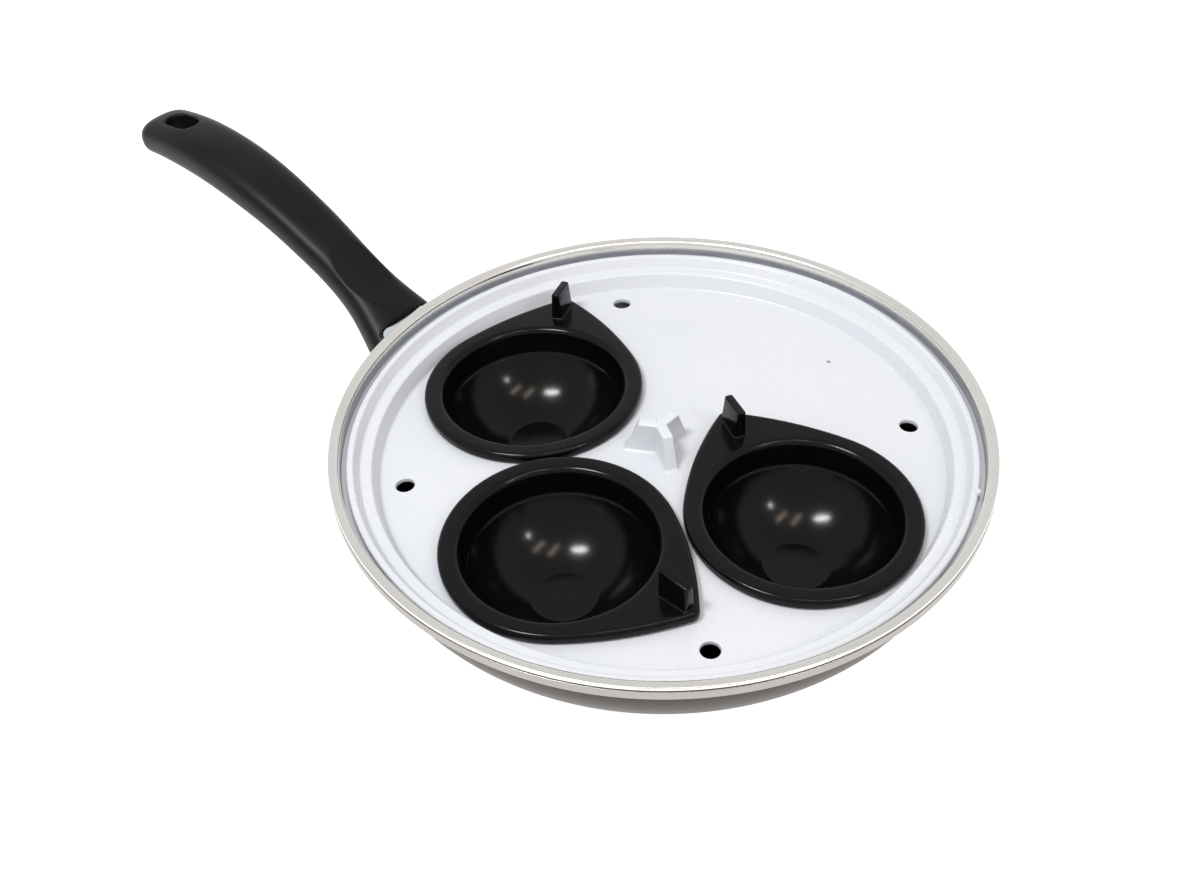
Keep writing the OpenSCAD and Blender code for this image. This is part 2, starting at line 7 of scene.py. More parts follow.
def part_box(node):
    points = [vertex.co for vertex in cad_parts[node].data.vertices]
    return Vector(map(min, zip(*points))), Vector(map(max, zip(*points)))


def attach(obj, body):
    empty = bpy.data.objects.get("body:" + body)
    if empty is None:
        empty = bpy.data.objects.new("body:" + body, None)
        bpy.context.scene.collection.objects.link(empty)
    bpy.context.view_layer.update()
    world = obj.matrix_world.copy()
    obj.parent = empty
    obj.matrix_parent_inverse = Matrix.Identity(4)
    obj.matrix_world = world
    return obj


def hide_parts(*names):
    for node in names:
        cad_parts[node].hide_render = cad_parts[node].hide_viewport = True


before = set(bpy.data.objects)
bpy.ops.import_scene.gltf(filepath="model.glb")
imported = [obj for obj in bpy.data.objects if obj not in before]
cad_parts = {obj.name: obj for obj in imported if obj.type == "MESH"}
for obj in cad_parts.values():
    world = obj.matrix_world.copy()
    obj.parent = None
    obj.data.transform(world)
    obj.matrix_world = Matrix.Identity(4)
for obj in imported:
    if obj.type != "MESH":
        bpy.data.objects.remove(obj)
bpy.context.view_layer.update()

# Every length below is in millimetres until a mesh is made, and heights are above the pan's base
MM = 0.001
# A profile point nearer to the axis than this lies on it
ON_AXIS = 1e-6
# Steps round the pan and the tray
ROUND_STEPS = 320


def frame_box(node):
    """The low and the high corner of a CAD node's box."""
    low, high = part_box(node)
    return low / MM, high / MM


# Driving sizes, read from the frame
pan_corner = frame_box("pan_body")[1]
rim_r, pan_h = pan_corner.x, pan_corner.z
tray_r = frame_box("egg_tray")[1].x
grip_end = -frame_box("grip")[0].x

# Pan
pan_t = 1.2
bead_r, bead_out = 1.65, 3.0
ledge_w, ledge_drop = 2.8, 4.1
base_in, base_curve_r, belly_low = 26.2, 8.0, 3.0
recess_h, recess_flat_in, recess_foot_in = 0.35, 14.0, 12.5
collar_r = rim_r - bead_out
collar_inner = collar_r - pan_t
ledge_z = pan_h - bead_r - ledge_drop
wall_r = collar_r - ledge_w
wall_inner = wall_r - pan_t
base_r = wall_r - base_in
belly_r = ledge_z - pan_t - belly_low
belly_c = (wall_r - belly_r, ledge_z - pan_t)
base_c = (base_r, base_curve_r)

# The band under the rim's roll, and the seam groove between them, whose darker coat is painted shade
band_in, seam_depth = 0.8, 0.15
band_r = rim_r - band_in
band_low, band_top = 35.5, 38.2
seam_r = band_r - seam_depth

# Tray
tray_t = 1.8
lip_w, step_run, shelf_w, riser_run = 2.0, 1.9, 3.5, 1.8
step_drop, riser_drop, plate_rise = 3.5, 5.4, 2.8
lip_top = ledge_z + tray_t
step_top_r = tray_r - lip_w
shelf_out_r = step_top_r - step_run
shelf_in_r = shelf_out_r - shelf_w
plate_r = shelf_in_r - riser_run
shelf_z = lip_top - step_drop
plate_z = shelf_z - riser_drop
plate_top = plate_z + plate_rise
dome_r = (plate_r ** 2 + plate_rise ** 2) / (2 * plate_rise)
dome_z = plate_top - dome_r
tray_turn = 3.6
seat_at, seat_angles = 51.83, (180, 270, 0)
steam_r, steam_in, steam_angles = 3.0, 8.0, (45, 135, 225, 315)
pin_r, pin_in, pin_angle = 0.75, 15.8, 74.2
nib_turn, nib_in = 23.7, 0.35

# Knob
knob_foot, knob_top, knob_h = 11.0, 6.8, 11.0
arm_t, arm_draft = 3.7, 0.12
knob_turn = 85.1
gate_mark_at = (-1.9, 1.6)

# Cups
cup_t = 1.5
mouth_r, lip_r, flange_w = 29.6, 2.4, 4.1
flange_r = mouth_r + lip_r + flange_w
tip_r, tip_out, side_r = 3.0, 12.9, 110.0
tip_at = flange_r + tip_out
skirt_h, edge_top, edge_bottom = 3.8, 1.5, 1.1
ring_depth, ring_w, wall_draft = 9.0, 0.3, 0.9
cup_depth, disc_r = 25.0, 10.0
seat_gap, rest_gap = 0.9, 0.05
seat_r = mouth_r + cup_t + seat_gap

# Lifting tabs
tab_len, tab_in = 10.6, 2.4
tab_mid = tip_at - tab_in - tab_len / 2
tab_h, tab_end_h = 10.0, 8.8
tab_w, tab_top_w = 4.0, 2.6
tab_twist, tab_aside = 6.0, 0.25

# Grip
grip_gap, root_in, path_in = 8.5, 6.5, 4.5
grip_start = rim_r + grip_gap
grip_root = grip_start - root_in
path_from = grip_start - path_in
path_len = grip_end - path_from
grip_pan_z, grip_tip_z = 11.6, 56.0
rise_angle, fall_angle = 38.6, 11.2
path_rise = path_len / 3 * math.tan(math.radians(rise_angle))
path_fall = path_len / 3 * math.tan(math.radians(fall_angle))
grip_widths = (37.0, 21.7, 21.7, 23.4, 23.4, 22.6)
grip_depths = (17.2, 13.7, 13.7, 15.4, 15.4, 12.5)
tip_round, grip_square = 8.5, 2.6
grip_fit, grip_voxel, grip_smoothing = 0.15, 0.45, 7

# Thumb rest and hanging hole
rest_out, rest_half, rest_d, rest_edge = 26.6, (12.5, 8.4), 1.9, 0.8
rest_at = grip_start + rest_out
hang_in, hang_w, hang_len = 19.0, 9.0, 15.0
hang_at = grip_end - hang_in

# Flame guard, tang and screw, which the grip is cut for
guard_w, guard_h, guard_corner, guard_z, guard_in = 23.0, 14.5, 4.0, 19.6, 6.5
guard_end = grip_start + guard_in
tang_w, tang_t, tang_z, tang_slope, tang_len, bend_in = 14.0, 2.5, 18.8, 31.0, 24.0, 2.5
tang_bend_at = grip_start + bend_in
screw_at, screw_head_r, clamp_t = 15.0, 3.6, 2.6


def on_circle(radius, degrees):
    """The point of a circle about the origin in this direction."""
    a = math.radians(degrees)
    return radius * math.cos(a), radius * math.sin(a)


def arc(centre, radius, start, end, steps):
    """Points along a circle from one direction to another, both included."""
    return [
        (centre[0] + x, centre[1] + y)
        for x, y in (on_circle(radius, start + (end - start) * i / steps) for i in range(steps + 1))
    ]


def soften(corners, steps, closed=True):
    """The outline through corners (x, y, radius), each rounded with its own radius."""
    out = []
    for i, (x, y, radius) in enumerate(corners):
        here = Vector((x, y))
        if radius <= 0 or (not closed and i in (0, len(corners) - 1)):
            out.append((x, y))
            continue
        back = Vector(corners[i - 1][:2]) - here
        ahead = Vector(corners[(i + 1) % len(corners)][:2]) - here
        half = back.angle(ahead) / 2
        reach = min(radius / math.tan(half), 0.49 * min(back.length, ahead.length))
        radius = reach * math.tan(half)
        back.normalize()
        ahead.normalize()
        centre = here + (back + ahead).normalized() * (radius / math.sin(half))
        start = here + back * reach - centre
        sweep = (here + ahead * reach - centre).angle_signed(start)
        for k in range(steps + 1):
            p = centre + Matrix.Rotation(sweep * k / steps, 2) @ start
            out.append((p.x, p.y))
    return out


def skin(rings):
    """The closed surface through rings: its points, its faces and the strip that each face lies in.

    A ring of one point is a pole, and an open end gets a cap.
    """
    points, faces, first = [], [], []
    for ring in rings:
        first.append(len(points))
        points += ring
    strips = []
    for i in range(len(rings) - 1):
        a, b = rings[i], rings[i + 1]
        n = max(len(a), len(b))
        for j in range(n):
            k = (j + 1) % n
            if len(a) == 1:
                faces.append((first[i], first[i + 1] + k, first[i + 1] + j))
            elif len(b) == 1:
                faces.append((first[i] + j, first[i] + k, first[i + 1]))
            else:
                faces.append((first[i] + j, first[i] + k, first[i + 1] + k, first[i + 1] + j))
            strips.append(i)
    for i, ring in ((0, rings[0]), (len(rings) - 1, rings[-1])):
        if len(ring) > 1:
            loop = [first[i] + j for j in range(len(ring))]
            faces.append(loop[::-1] if i == 0 else loop)
            strips.append(min(i, len(rings) - 2))
    return points, faces, strips


def spun(profile, steps):
    """Rings of a profile of (radius, height) turned about the upright axis."""
    rings = []
    for radius, height in profile:
        if radius < ON_AXIS:
            rings.append([(0, 0, height)])
        else:
            rings.append([(*on_circle(radius, 360 * j / steps), height) for j in range(steps)])
    return rings


def add_object(name, data):
    """A new object in the scene."""
    obj = bpy.data.objects.new(name, data)
    bpy.context.scene.collection.objects.link(obj)
    return obj


def solid(name, rings, place=None):
    """A mesh object with outward faces, made from rings in millimetres and moved by place."""
    points, faces, strips = skin(rings)
    mesh = bpy.data.meshes.new(name)
    mesh.from_pydata([Vector(p) for p in points], [], faces)
    if place is not None:
        mesh.transform(place)
    mesh.transform(Matrix.Scale(MM, 4))
    obj = add_object(name, mesh)
    obj["strips"] = strips
    face_outwards(mesh)
    return obj


def face_outwards(mesh):
    """Turns the faces round if the closed mesh's signed volume is negative."""
    mesh.calc_loop_triangles()
    corners = [[mesh.vertices[i].co for i in t.vertices] for t in mesh.loop_triangles]
    volume = sum(a.dot(b.cross(c)) for a, b, c in corners)
    if volume < 0:
        mesh.flip_normals()


def bake_shape(obj):
    """Replaces the object's mesh by what its modifiers make of it."""
    evaluated = obj.evaluated_get(bpy.context.evaluated_depsgraph_get())
    mesh = bpy.data.meshes.new_from_object(evaluated)
    old = obj.data
    obj.modifiers.clear()
    obj.data = mesh
    bpy.data.meshes.remove(old)


def combine(obj, tools, operation="DIFFERENCE"):
    """Cuts the tools out of obj, or joins them to it, and removes them."""
    for tool in tools:
        step = obj.modifiers.new("combine", "BOOLEAN")
        step.operation = operation
        step.solver = "MANIFOLD"
        step.object = tool
    bake_shape(obj)
    for tool in tools:
        bpy.data.objects.remove(tool)
    return obj


def smooth(obj, angle):
    """Shades the object smooth, apart from edges sharper than the angle."""
    obj.data.shade_smooth()
    obj.data.set_sharp_from_angle(angle=math.radians(angle))


class Value:
    """A shader value that takes part in sums."""

    def __init__(self, finish, socket):
        self.finish, self.socket = finish, socket

    def math(self, operation, *others):
        made = self.finish.node("ShaderNodeMath", {"operation": operation}, dict(enumerate(others)))
        return Value(self.finish, made.outputs[0])

    def __add__(self, other):
        return self.math("ADD", self, other)

    def __radd__(self, other):
        return self.math("ADD", other, self)

    def __sub__(self, other):
        return self.math("SUBTRACT", self, other)

    def __rsub__(self, other):
        return self.math("SUBTRACT", other, self)

    def __mul__(self, other):
        return self.math("MULTIPLY", self, other)

    def __rmul__(self, other):
        return self.math("MULTIPLY", other, self)


def add_node(tree, kind, settings=(), inputs=()):
    """A node with its settings made first, and then the values or links of its sockets."""
    node = tree.nodes.new(kind)
    for name, value in dict(settings).items():
        if name == "stops":
            ramp = node.color_ramp.elements
            for i, (at, colour) in enumerate(value):
                stop = ramp[i] if i < 2 else ramp.new(at)
                stop.position = at
                stop.color = colour
        else:
            setattr(node, name, value)
    for key, value in dict(inputs).items():
        if isinstance(value, Value):
            value = value.socket
        if isinstance(value, bpy.types.NodeSocket):
            tree.links.new(value, node.inputs[key])
        else:
            node.inputs[key].default_value = value
    return node


class Finish:
    """A material and its nodes."""

    def __init__(self, name):
        self.material = bpy.data.materials.new(name)
        self.material.use_nodes = True
        self.tree = self.material.node_tree
        self.tree.nodes.clear()
        self.place = self.node("ShaderNodeTexCoord").outputs["Object"]

    def node(self, kind, settings=(), inputs=()):
        return add_node(self.tree, kind, settings, inputs)

    def vector(self, operation, inputs, output=0):
        """The result of one sum on vectors."""
        return self.node("ShaderNodeVectorMath", {"operation": operation}, inputs).outputs[output]

    def stretched(self, x, y, z):
        """The place on the object in millimetres, stretched along each axis."""
        return self.vector("MULTIPLY", {0: self.place, 1: (x / MM, y / MM, z / MM)})

    def round_the_axis(self, across, along):
        """Coordinates that change fast across the turned surface and slowly round it."""
        parts = self.node("ShaderNodeSeparateXYZ", (), {0: self.place})
        flat = self.vector("MULTIPLY", {0: self.place, 1: (1, 1, 0)})
        radius = Value(self, self.vector("LENGTH", {0: flat}, "Value"))
        height = Value(self, parts.outputs["Z"])
        turn = self.vector("NORMALIZE", {0: flat})
        slow = self.vector("SCALE", {0: turn, "Scale": along})
        level = (radius + height) * (across / MM)
        lifted = self.node("ShaderNodeCombineXYZ", (), {"Z": level})
        return self.vector("ADD", {0: slow, 1: lifted.outputs[0]})

    def noise(self, vector, detail, roughness=0.55):
        inputs = {"Vector": vector, "Scale": 1.0, "Detail": detail, "Roughness": roughness}
        return Value(self, self.node("ShaderNodeTexNoise", (), inputs).outputs[0])

    def between(self, value, low, high):
        """The value spread so that low gives 0 and high gives 1."""
        inputs = {"Value": value, "From Min": low, "From Max": high}
        return Value(self, self.node("ShaderNodeMapRange", {"clamp": True}, inputs).outputs[0])

    def mixed(self, factor, a, b):
        """A colour between a and b."""
        a, b = ((*colour, 1) if isinstance(colour, tuple) else colour for colour in (a, b))
        return self.node("ShaderNodeMix", {"data_type": "RGBA"}, {0: factor, 6: a, 7: b}).outputs[2]

    def bumped(self, height, depth, strength, normal=None):
        """A normal from a height, with the depth in millimetres, on top of another normal if one is given."""
        inputs = {"Height": height, "Distance": depth * MM, "Strength": strength}
        if normal is not None:
            inputs["Normal"] = normal
        return self.node("ShaderNodeBump", (), inputs).outputs[0]

    def surface(self, **inputs):
        """The finished surface: the words name the shader's sockets, with _ for a space."""
        named = {key.replace("_", " "): value for key, value in inputs.items()}
        shader = self.node("ShaderNodeBsdfPrincipled", (), named)
        self.node("ShaderNodeOutputMaterial", (), {"Surface": shader.outputs[0]})
        return self.material


def spun_metal(name, light, dark, rough, line):
    """Metal turned on a lathe: fine lines round the axis, with faint smudges."""
    f = Finish(name)
    lines = f.noise(f.round_the_axis(line, 1.2), detail=4.0, roughness=0.7)
    cloud = f.noise(f.stretched(0.03, 0.03, 0.03), detail=4.0)
    tint = f.between(cloud * 0.75 + lines * 0.25, 0.3, 0.7)
    return f.surface(
        Base_Color=f.mixed(tint, dark, light),
        Metallic=1.0,
        Roughness=rough + (lines - 0.5) * 0.16 + (cloud - 0.5) * 0.05,
        Normal=f.bumped(lines, 0.008, 0.4),
    )


def coated_metal(name, dark, light):
    """The pan's outside: a thin taupe coating with a slight sparkle and a fine tooth."""
    f = Finish(name)
    tooth = f.noise(f.stretched(2.4, 2.4, 2.4), detail=3.0)
    cloud = f.noise(f.stretched(0.025, 0.025, 0.04), detail=3.0)
    fleck = f.between(f.noise(f.stretched(7, 7, 7), detail=1.0), 0.6, 0.72)
    base = f.mixed(f.between(cloud, 0.3, 0.7), dark, light)
    return f.surface(
        Base_Color=f.mixed(fleck * 0.15, base, (0.34, 0.30, 0.26)),
        Metallic=fleck * 0.4 + 0.05,
        Roughness=0.36 + (cloud - 0.5) * 0.12 + (tooth - 0.5) * 0.08,
        Normal=f.bumped(tooth, 0.02, 0.5),
        Specular_IOR_Level=0.2,
    )


def white_moulding(name):
    """White plastic out of a polished mould, with a slight ripple and faint handling marks."""
    f = Finish(name)
    ripple = f.noise(f.stretched(0.12, 0.12, 0.12), detail=2.0)
    marks = f.noise(f.stretched(0.5, 1.6, 1.0), detail=5.0, roughness=0.65)
    cloud = f.noise(f.stretched(0.02, 0.02, 0.02), detail=3.0)
    return f.surface(
        Base_Color=f.mixed(f.between(cloud, 0.3, 0.7), (0.585, 0.61, 0.65), (0.615, 0.635, 0.665)),
        Roughness=0.26 + (cloud - 0.5) * 0.08 + (marks - 0.5) * 0.10,
        Normal=f.bumped(marks, 0.003, 0.25, f.bumped(ripple, 0.02, 0.4)),
        Subsurface_Weight=0.06,
        Subsurface_Radius=(0.004, 0.004, 0.004),
        Subsurface_Scale=0.5,
    )


def black_moulding(name):
    """Glossy black plastic, with a faint ripple from the mould and a little dust."""
    f = Finish(name)
    ripple = f.noise(f.stretched(0.16, 0.16, 0.16), detail=2.0)
    marks = f.noise(f.stretched(0.8, 1.1, 0.9), detail=5.0, roughness=0.65)
    dust = f.between(f.noise(f.stretched(2.2, 2.2, 2.2), detail=2.0), 0.76, 0.82)
    return f.surface(
        Base_Color=f.mixed(dust * 0.3, (0.0020, 0.0020, 0.0022), (0.09, 0.09, 0.095)),
        Roughness=0.17 + (marks - 0.5) * 0.10 + dust * 0.15,
        Normal=f.bumped(marks, 0.006, 0.35, f.bumped(ripple, 0.04, 0.4)),
        IOR=1.54,
        Specular_IOR_Level=0.17,
    )


def grained_moulding(name):
    """The grip's satin black, with the fine grain of a blasted mould and a slightly worn sheen."""
    f = Finish(name)
    grain = f.noise(f.stretched(3.6, 3.6, 3.6), detail=2.0, roughness=0.6)
    cloud = f.noise(f.stretched(0.05, 0.09, 0.09), detail=3.0)
    dark, light = (0.0035, 0.0035, 0.0036), (0.0055, 0.0055, 0.0054)
    return f.surface(
        Base_Color=f.mixed(f.between(cloud, 0.3, 0.7), dark, light),
        Roughness=0.38 + (cloud - 0.5) * 0.14 + (grain - 0.5) * 0.10,
        Normal=f.bumped(grain, 0.03, 0.5),
        IOR=1.52,
        Specular_IOR_Level=0.17,
    )


def pressed_steel(name, light, dark, rough, grain=(0.2, 3.0, 3.0)):
    """Pressed or turned steel with a drawn grain."""
    f = Finish(name)
    drawn = f.noise(f.stretched(*grain), detail=4.0, roughness=0.65)
    cloud = f.noise(f.stretched(0.08, 0.08, 0.08), detail=3.0)
    return f.surface(
        Base_Color=f.mixed(f.between(cloud, 0.3, 0.7), dark, light),
        Metallic=1.0,
        Roughness=rough + (drawn - 0.5) * 0.16 + (cloud - 0.5) * 0.10,
        Normal=f.bumped(drawn, 0.01, 0.5),
    )


rim_metal = spun_metal("rolled_rim_polish", (0.88, 0.86, 0.82), (0.80, 0.775, 0.73), 0.20, 0.9)
collar_metal = spun_metal("collar_satin", (0.385, 0.372, 0.35), (0.34, 0.327, 0.305), 0.34, 1.5)
inside_metal = spun_metal("pan_inside_spun", (0.66, 0.67, 0.70), (0.62, 0.63, 0.66), 0.36, 1.1)
outside_coat = coated_metal("pan_outside_taupe", (0.040, 0.030, 0.025), (0.050, 0.039, 0.033))
# The groove under the roll gets a darker coat than the outside: painted shade under the rolled rim
seam_painted_shade_coat = coated_metal("pan_seam_painted_shade", (0.030, 0.022, 0.030), (0.040, 0.030, 0.036))
tray_white = white_moulding("tray_white")
cup_black = black_moulding("cup_black")
grip_black = grained_moulding("grip_black_grain")
# The guard's bluish tint is a painted reflection of blue light, not the steel's own colour
guard_steel_painted_blue_reflection = pressed_steel("guard_steel_painted_blue_reflection", (0.80, 0.86, 0.95), (0.70, 0.76, 0.86), 0.20)
bracket_steel = pressed_steel("bracket_steel", (0.62, 0.64, 0.66), (0.50, 0.52, 0.54), 0.36)
rivet_alloy = pressed_steel("rivet_alloy", (0.76, 0.76, 0.77), (0.66, 0.66, 0.67), 0.30, (1.5, 1.5, 1.5))
screw_zinc = pressed_steel("screw_zinc", (0.66, 0.67, 0.70), (0.52, 0.54, 0.57), 0.28, (1.5, 1.5, 1.5))


def dress(obj, body, slot, nodes, *materials):
    """Rides the piece on its body, gives it its finish, and lets it stand for its CAD nodes."""
    obj.data.materials.clear()
    for material in materials:
        obj.data.materials.append(material)
    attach(obj, body)
    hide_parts(*nodes)
    del obj["strips"]


def make_pan():
    """The pressed pan, turned from one line.

    The line runs from the middle of the base up the outside, over the band, the seam and the roll, and then
    down the inside.
    """
    across = Vector(belly_c) - Vector(base_c)
    cone = math.degrees(math.atan2(across.y, across.x) - math.acos((base_curve_r - belly_r) / across.length))
    outside = [(0.0, recess_h), (base_r - recess_flat_in, recess_h), (base_r - recess_foot_in, 0.0)]
    outside += arc(base_c, base_curve_r, -90, cone, 16) + arc(belly_c, belly_r, cone, 0, 40)
    shoulder_z = ledge_z - 0.3
    band_foot = (band_r - 0.5, band_low - 0.5, 0)
    outside += soften([
        (wall_r, shoulder_z - 0.9, 0), (wall_r + 0.2, shoulder_z, 0.4), (collar_r + 0.4, shoulder_z, 0.5),
        band_foot,
    ], closed=False, steps=4)[1:]
    band = soften([
        band_foot, (band_r, band_low, 0.5), (band_r, band_top, 0.15), (seam_r, band_top + 0.1, 0),
    ], closed=False, steps=5)[1:]
    groove = [(seam_r, band_top + 0.4), (seam_r, band_top + 0.75)]
    roll = soften([
        (seam_r, band_top + 0.75, 0), (band_r - 0.05, band_top + 0.85, 0.1), (band_r - 0.05, pan_h, 0.85),
        (collar_inner, pan_h, 1.75), (collar_inner, ledge_z + 2.4, 0),
    ], closed=False, steps=10)[1:]
    inside = soften([
        (collar_inner, ledge_z + 2.0, 0), (collar_inner, ledge_z, 0.5), (wall_inner, ledge_z, 0.6),
        (wall_inner, ledge_z - 1.6, 0),
    ], closed=False, steps=5)
    inside += arc(belly_c, belly_r - pan_t, -2, cone, 40) + arc(base_c, base_curve_r - pan_t, cone, -90, 12)
    inside += [(0.0, pan_t)]
    parts = (outside, band, groove, roll, inside)
    line = [p for part in parts for p in part]
    pan = solid("pan_body_pressed", spun(line, ROUND_STEPS))
    # Each strip of faces takes the metal of the part of the line that it lies in
    ends = [sum(len(part) for part in parts[:i]) - 1 for i in range(1, len(parts))]
    finish = [sum(s >= e for e in ends) for s in pan["strips"]]
    # The groove's darker coat is painted shade
    metals = (outside_coat, collar_metal, seam_painted_shade_coat, rim_metal, inside_metal)
    dress(pan, "pan", "pan_metal", ["pan_body"], *metals)
    pan.data.polygons.foreach_set("material_index", finish)
    smooth(pan, 40)


def on_plate(angle, distance, height):
    """Stands an upright piece square on the domed plate; the height is measured from the dome's centre."""
    lean = Matrix.Rotation(math.asin(distance / dome_r), 4, "Y")
    return (
        Matrix.Rotation(math.radians(angle), 4, "Z") @ Matrix.Translation((0, 0, dome_z))
        @ lean @ Matrix.Translation((0, 0, height))
    )


def hole_cutter(name, radius, edge, angle, distance):
    """A cutter for a hole through the plate, with the edge of the hole rounded on top and below."""
    wide, through = radius + edge, 12
    line = [(0, -through), (wide, -through), (wide, -tray_t)]
    line += arc((wide, -tray_t + edge), edge, 270, 180, 5)[1:]
    line += arc((wide, -edge), edge, 180, 90, 5)
    line += [(wide, through), (0, through)]
    sag = radius ** 2 / (2 * dome_r)
    steps = 200 if radius > 10 else 48
    return solid(name, spun(line, steps), on_plate(angle + tray_turn, distance, dome_r - sag))


def stem_levels(height, sink, flare, flare_steps, middles, top_round):
    """Heights of a piece that stands on a surface, each with how far its outline reaches out there.

    It starts sunk into the surface, has a flared foot and straight sides, and its top edge is rounded.
    """
    foot = [i * math.pi / (2 * flare_steps) for i in range(flare_steps + 1)]
    top = [i * math.pi / 12 for i in range(1, 7)]
    levels = [(-sink, flare)]
    levels += [(flare * (1 - math.cos(t)), flare * (1 - math.sin(t))) for t in foot]
    levels += [(height * share, 0.0) for share in middles] + [(height - top_round, 0.0)]
    levels += [(height - top_round * (1 - math.sin(t)), top_round * (math.cos(t) - 1)) for t in top]
    return levels


def knob_outline(reach, half, end_r, inner_r):
    """A star with three arms, rounded at the ends and where two arms meet."""
    corners = []
    for k in range(3):
        turn = Matrix.Rotation(math.radians(120 * k), 2)
        for y in (-half, half):
            p = turn @ Vector((reach, y))
            corners.append((p.x, p.y, end_r))
        x, y = on_circle(half / math.sin(math.radians(60)), 120 * k + 60)
        corners.append((x, y, inner_r))
    return soften(corners, steps=6)


def make_knob():
    """The three-armed knob: a flared foot, tapered arms and a rounded top edge."""
    rings = []
    for z, out in stem_levels(knob_h, sink=1.2, flare=1.2, flare_steps=6, middles=(0.5,), top_round=0.6):
        share = max(z, 0) / knob_h
        reach = knob_foot + (knob_top - knob_foot) * share + out
        half = arm_t / 2 - arm_draft * share + out
        ring = knob_outline(reach, half, max(0.45 + out, 0.12), 1.0)
        rings.append([(x, y, z) for x, y in ring])
    turn = Matrix.Rotation(math.radians(knob_turn + tray_turn), 4, "Z")
    return solid("knob", rings, turn @ Matrix.Translation((0, 0, plate_top)))


def make_gate_mark():
    """The small ring left on the knob's top where the plastic ran into the mould."""
    line = [(0, -0.4), (0.9, -0.4), (0.9, 0.05), (0.75, 0.14), (0.55, 0.05), (0.3, -0.02), (0, 0.1)]
    return solid("gate_mark", spun(line, 32), Matrix.Translation((*gate_mark_at, plate_top + knob_h)))


def make_nib():
    """The small raised nib on the tray's lip."""
    x, y = on_circle(tray_r - nib_in, nib_turn)
    outline = soften([(-0.9, -0.7, 0.3), (0.9, -0.7, 0.3), (0.9, 0.9, 0.4), (-0.9, 0.9, 0.4)], steps=3)
    rings = [[(b * k, a * k, z) for a, b in outline] for z, k in ((-0.9, 1.0), (0.35, 1.0), (0.5, 0.8))]
    place = Matrix.Translation((x, y, lip_top)) @ Matrix.Rotation(math.radians(nib_turn), 4, "Z")
    return solid("nib", rings, place)


def make_tray():
    """The moulded tray: domed plate, riser, shelf and lip in one line, then its holes, knob and nib."""
    step_out_r = wall_inner - 0.6
    step_foot_r = step_out_r - 0.95
    edge_a = math.degrees(math.acos(plate_r / dome_r))
    riser_t = 1.9
    rim_line = soften([
        (plate_r - 6, plate_z + 0.36, 0), (plate_r, plate_z, 1.0), (shelf_in_r, shelf_z, 0.8),
        (shelf_out_r, shelf_z, 0.9), (step_top_r, lip_top, 0.8), (tray_r, lip_top, 0.7),
        (tray_r, ledge_z, 0.4), (step_out_r, ledge_z, 0.4), (step_foot_r, shelf_z - tray_t, 0.7),
        (shelf_in_r + riser_t, shelf_z - tray_t, 0.7), (plate_r + riser_t, plate_z - tray_t, 0.8),
        (plate_r - 4, plate_z - tray_t + 0.25, 0)], closed=False, steps=5)
    top = [p for p in arc((0, dome_z), dome_r, 90, edge_a, 48) if p[0] < plate_r - 6.5]
    under = [p for p in arc((0, dome_z), dome_r - tray_t, edge_a, 90, 48) if p[0] < plate_r - 4.5]
    line = top + rim_line + under
    line[0] = (0.0, plate_top)
    line[-1] = (0.0, plate_top - tray_t)
    tray = solid("tray_moulded", spun(line, ROUND_STEPS))
    holes = [hole_cutter("seat", seat_r, 0.5, a, seat_at) for a in seat_angles]
    holes += [hole_cutter("steam", steam_r, 0.4, a, plate_r - steam_in) for a in steam_angles]
    holes += [hole_cutter("pinhole", pin_r, 0.2, pin_angle, plate_r - pin_in)]
    combine(tray, holes)
    combine(tray, [make_knob(), make_gate_mark(), make_nib()], "UNION")
    dress(tray, "tray", "tray_plastic", ["egg_tray"], tray_white)
    smooth(tray, 30)


def flange_points():
    """Samples of the flange's outline as (centre, radius, direction), which give its insets too."""
    tip_c = tip_at - tip_r
    to_circle, to_tip = side_r - flange_r, side_r - tip_r
    side_x = (to_circle ** 2 - to_tip ** 2 + tip_c ** 2) / (2 * tip_c)
    side_y = math.sqrt(to_circle ** 2 - side_x ** 2)
    tip_a = math.degrees(math.atan2(side_y, tip_c - side_x))
    near_a = math.degrees(math.atan2(side_y, -side_x))
    pieces = (
        ((tip_c, 0), tip_r, -tip_a, tip_a, 24),
        ((side_x, -side_y), side_r, tip_a, near_a, 36),
        ((0, 0), flange_r, near_a, 360 - near_a, 150),
        ((side_x, side_y), side_r, 360 - near_a, 360 - tip_a, 36),
    )
    return [
        (centre, radius, a0 + (a1 - a0) * i / steps)
        for centre, radius, a0, a1, steps in pieces for i in range(steps)
    ]


